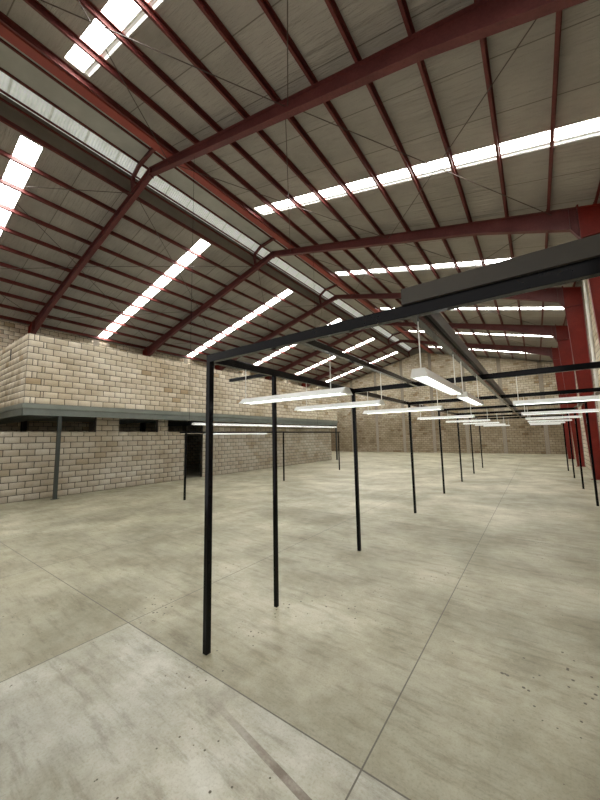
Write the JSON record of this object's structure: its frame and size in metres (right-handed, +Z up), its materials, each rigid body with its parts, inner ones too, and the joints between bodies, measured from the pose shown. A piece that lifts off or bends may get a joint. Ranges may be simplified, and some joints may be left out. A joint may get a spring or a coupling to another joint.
{
  "type": "factory building",
  "caption": "Steel portal frame factory hall with a ridge monitor, rooflight strips, block walls, a vehicle doorway and a built-in office mezzanine.",
  "frame": {"origin": "middle of the building's footprint at ground level", "axes": "+X across the hall to its right side, +Y along the ridge to the far gable, +Z up"},
  "size_m": [23.36, 36.38, 11.4566],
  "materials": {
    "concrete_floor": "worn power-floated concrete",
    "wall_blocks": "cream concrete blocks with grey joints",
    "gable_blocks": "cream concrete blocks with grey joints",
    "office_blocks": "cream concrete blocks with grey joints",
    "cast_concrete": "board-marked cast concrete",
    "oxide_paint": "red oxide primer, satin",
    "oxide_paint_purlins": "red oxide primer, matt",
    "roof_sheet": "grey-brown insulation facing, matt",
    "rooflight_sheet": "translucent ribbed sheet",
    "monitor_sheet": "grey coated sheet",
    "monitor_light_sheet": "whitish-green translucent ribbed sheet",
    "monitor_side_sheet": "beige-brown coated sheet",
    "flashing_sheet": "folded coated sheet",
    "brace_rod": "dark painted rod",
    "gutter_sheet": "galvanised folded sheet",
    "pipe_plastic": "off-white pipe",
    "deck_paint": "grey-green painted deck edge",
    "grey_green_paint": "grey-green paint, satin",
    "black_paint": "black gloss paint",
    "trunking_sheet": "dark grey sheet",
    "white_enamel": "white stove enamel",
    "lamp_glass": "lit white tube",
    "shutter_steel": "galvanised slats"
  },
  "bodies": {
    "root": {"floor_slab": "concrete_floor", "left_side_wall": "wall_blocks", "right_side_wall": "wall_blocks", "far_gable_wall": "gable_blocks", "near_gable_wall_left": "gable_blocks", "near_gable_wall_right": "gable_blocks", "near_gable_wall_over_door": "gable_blocks", "side_tie_columns": "cast_concrete", "gable_tie_columns": "cast_concrete", "door_lintels": "cast_concrete", "left_columns": "oxide_paint", "right_columns": "oxide_paint", "left_rafters": "oxide_paint", "right_rafters": "oxide_paint", "left_purlins": "oxide_paint_purlins", "right_purlins": "oxide_paint_purlins", "left_roof_sheeting": "roof_sheet", "right_roof_sheeting": "roof_sheet", "left_rooflights": "rooflight_sheet", "right_rooflights": "rooflight_sheet", "monitor_brackets": "oxide_paint", "monitor_purlins": "oxide_paint_purlins", "monitor_top_sheet": "monitor_sheet", "monitor_shoulder_lights": "monitor_light_sheet", "monitor_side_sheets": "monitor_side_sheet", "monitor_end_sheets": "monitor_side_sheet", "verge_flashings": "flashing_sheet", "roof_bracing": "brace_rod", "eaves_gutters": "gutter_sheet", "downpipes": "pipe_plastic", "mezzanine_deck": "deck_paint", "mezzanine_front_beam": "grey_green_paint", "mezzanine_cross_beams": "grey_green_paint", "mezzanine_posts": "grey_green_paint", "office_front_wall_near": "office_blocks", "office_front_wall_far": "office_blocks", "office_end_wall": "office_blocks", "upper_front_wall": "office_blocks", "upper_end_walls": "office_blocks", "lighting_posts": "black_paint", "lighting_beams": "black_paint", "cable_trunking": "trunking_sheet", "hung_light_rail": "black_paint", "luminaires": "white_enamel", "fluorescent_tubes": "lamp_glass", "roller_shutter": "shutter_steel", "shutter_guides": "shutter_steel"}
  },
  "joints": []
}
